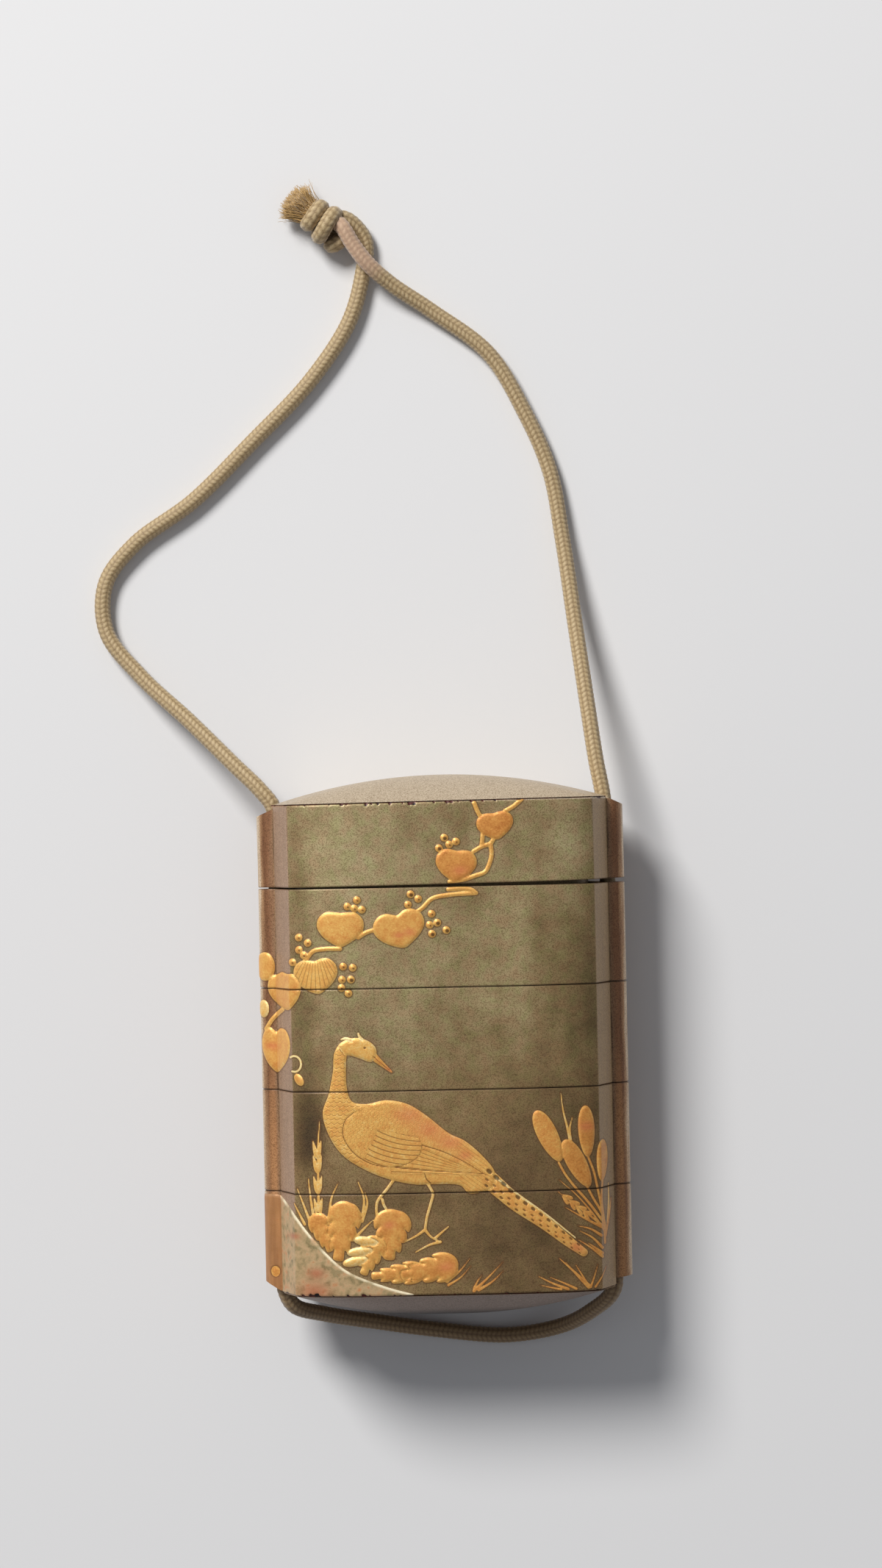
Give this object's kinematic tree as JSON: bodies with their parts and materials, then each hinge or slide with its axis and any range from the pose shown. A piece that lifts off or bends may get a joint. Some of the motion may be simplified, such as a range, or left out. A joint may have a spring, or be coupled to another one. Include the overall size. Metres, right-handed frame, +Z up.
{
  "type": "inro case with cord",
  "caption": "Small lacquered case of stacked boxes under a lift-off lid, strung on a knotted silk cord and lying on its back.",
  "frame": {"origin": "middle of the case's underside, on the surface it lies on, without the cord", "axes": "+X across the case's width, +Y along the stack towards the lid, +Z up through its thickness, towards the picture"},
  "size_m": [0.078, 0.1738, 0.0243],
  "materials": {
    "gold_lacquer": "gold dust in dark lacquer, polished to a soft gloss, with raised gold figures",
    "silk_cord": "braided silk with a fine herringbone, slightly shiny"
  },
  "bodies": {
    "root": {"lid": "gold_lacquer", "box_1": "gold_lacquer", "box_2": "gold_lacquer", "box_3": "gold_lacquer", "box_4": "gold_lacquer", "cord": "silk_cord", "cord_knot": "silk_cord"}
  },
  "joints": []
}
